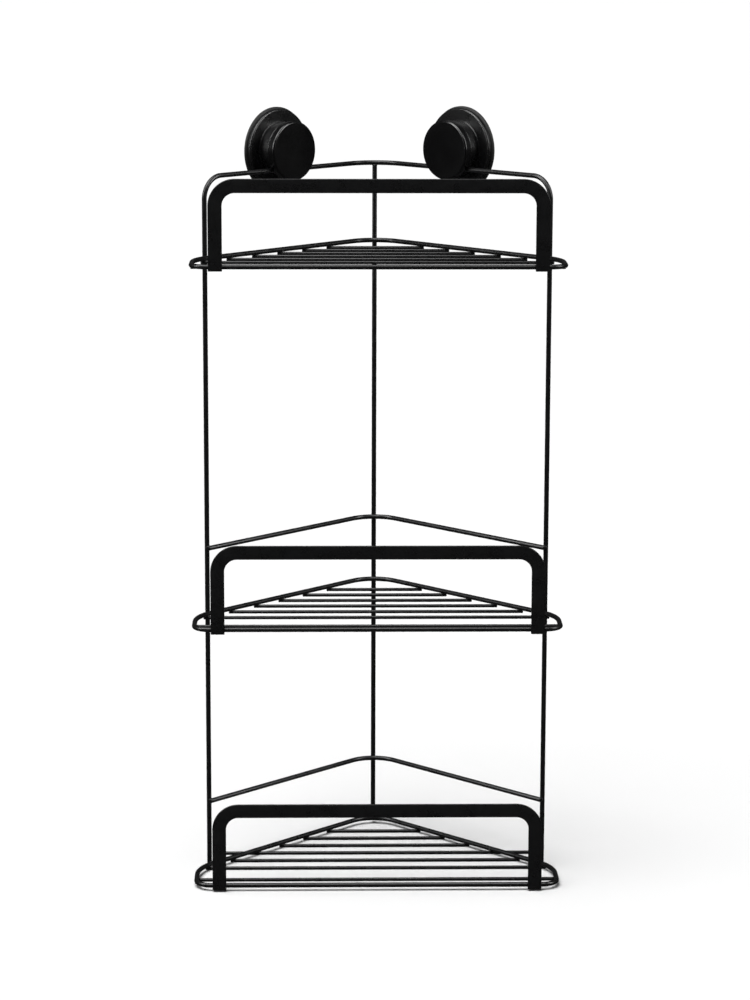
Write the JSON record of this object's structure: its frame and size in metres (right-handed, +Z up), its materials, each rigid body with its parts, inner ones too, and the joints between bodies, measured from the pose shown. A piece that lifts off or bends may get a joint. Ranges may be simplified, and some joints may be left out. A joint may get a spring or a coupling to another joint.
{
  "type": "shower caddy",
  "caption": "Corner shower caddy in black coated steel wire: tiered grid shelves with flat strap guards, held to the walls by twist-lock suction cups that slide on the top rail.",
  "frame": {"origin": "middle of the footprint, at the underside of the bottom shelf's grid wires, which is the height the caddy stands on", "axes": "+X to the user's right, +Y from the room into the corner of the walls, +Z up; the two walls lie at 45 degrees to X and Y"},
  "size_m": [0.2958, 0.1902, 0.6191],
  "materials": {
    "black_coat": "satin black powder coat over steel wire and strap",
    "housing_plastic": "satin moulded ABS",
    "knob_plastic": "smooth, low-gloss moulded ABS",
    "pad_rubber": "soft matt thermoplastic rubber",
    "stud_steel": "turned zinc-plated steel",
    "washer_nylon": "natural nylon",
    "nut_brass": "machined brass"
  },
  "bodies": {
    "frame": {"outer_frame_wire": "black_coat", "centre_upright": "black_coat", "middle_back_rail": "black_coat", "lower_back_rail": "black_coat", "top_shelf_rim": "black_coat", "middle_shelf_rim": "black_coat", "bottom_shelf_rim": "black_coat", "top_grid_wire_1": "black_coat", "top_grid_wire_2": "black_coat", "top_grid_wire_3": "black_coat", "top_grid_wire_4": "black_coat", "top_grid_wire_5": "black_coat", "top_grid_wire_6": "black_coat", "top_grid_wire_7": "black_coat", "middle_grid_wire_1": "black_coat", "middle_grid_wire_2": "black_coat", "middle_grid_wire_3": "black_coat", "middle_grid_wire_4": "black_coat", "middle_grid_wire_5": "black_coat", "middle_grid_wire_6": "black_coat", "middle_grid_wire_7": "black_coat", "bottom_grid_wire_1": "black_coat", "bottom_grid_wire_2": "black_coat", "bottom_grid_wire_3": "black_coat", "bottom_grid_wire_4": "black_coat", "bottom_grid_wire_5": "black_coat", "bottom_grid_wire_6": "black_coat", "bottom_grid_wire_7": "black_coat", "top_guard": "black_coat", "middle_guard": "black_coat", "bottom_guard": "black_coat"},
    "left_cup": {"left_suction_pad": "pad_rubber", "left_cup_housing": "housing_plastic", "left_washer": "washer_nylon"},
    "left_stud": {"left_stud": "stud_steel"},
    "left_knob": {"left_knob": "knob_plastic", "left_knob_nut": "nut_brass"},
    "right_cup": {"right_suction_pad": "pad_rubber", "right_cup_housing": "housing_plastic", "right_washer": "washer_nylon"},
    "right_stud": {"right_stud": "stud_steel"},
    "right_knob": {"right_knob": "knob_plastic", "right_knob_nut": "nut_brass"}
  },
  "joints": [
    {"name": "left_cup_slide", "type": "slide", "parent": "frame", "child": "left_cup", "axis": [-0.7071, -0.7071, 0], "range_m": [-0.055, 0.057]},
    {"name": "left_knob_turn", "type": "hinge", "parent": "left_cup", "child": "left_knob", "pos_m": [-0.08238, 0.04459, 0.58459], "axis": [-0.7071, 0.7071, 0], "range_deg": [0, 360]},
    {"name": "left_stud_pull", "type": "slide", "parent": "left_cup", "child": "left_stud", "axis": [0.7071, -0.7071, 0], "range_m": [0, 0.003]},
    {"name": "right_cup_slide", "type": "slide", "parent": "frame", "child": "right_cup", "axis": [0.7071, -0.7071, 0], "range_m": [-0.04, 0.072]},
    {"name": "right_knob_turn", "type": "hinge", "parent": "right_cup", "child": "right_knob", "pos_m": [0.07177, 0.0552, 0.58459], "axis": [0.7071, 0.7071, 0], "range_deg": [0, 360]},
    {"name": "right_stud_pull", "type": "slide", "parent": "right_cup", "child": "right_stud", "axis": [-0.7071, -0.7071, 0], "range_m": [0, 0.003]}
  ],
  "couplings": [
    {"joint": "left_stud_pull", "follows": "left_knob_turn", "m_per_rad": 0.00047746},
    {"joint": "right_stud_pull", "follows": "right_knob_turn", "m_per_rad": 0.00047746}
  ]
}
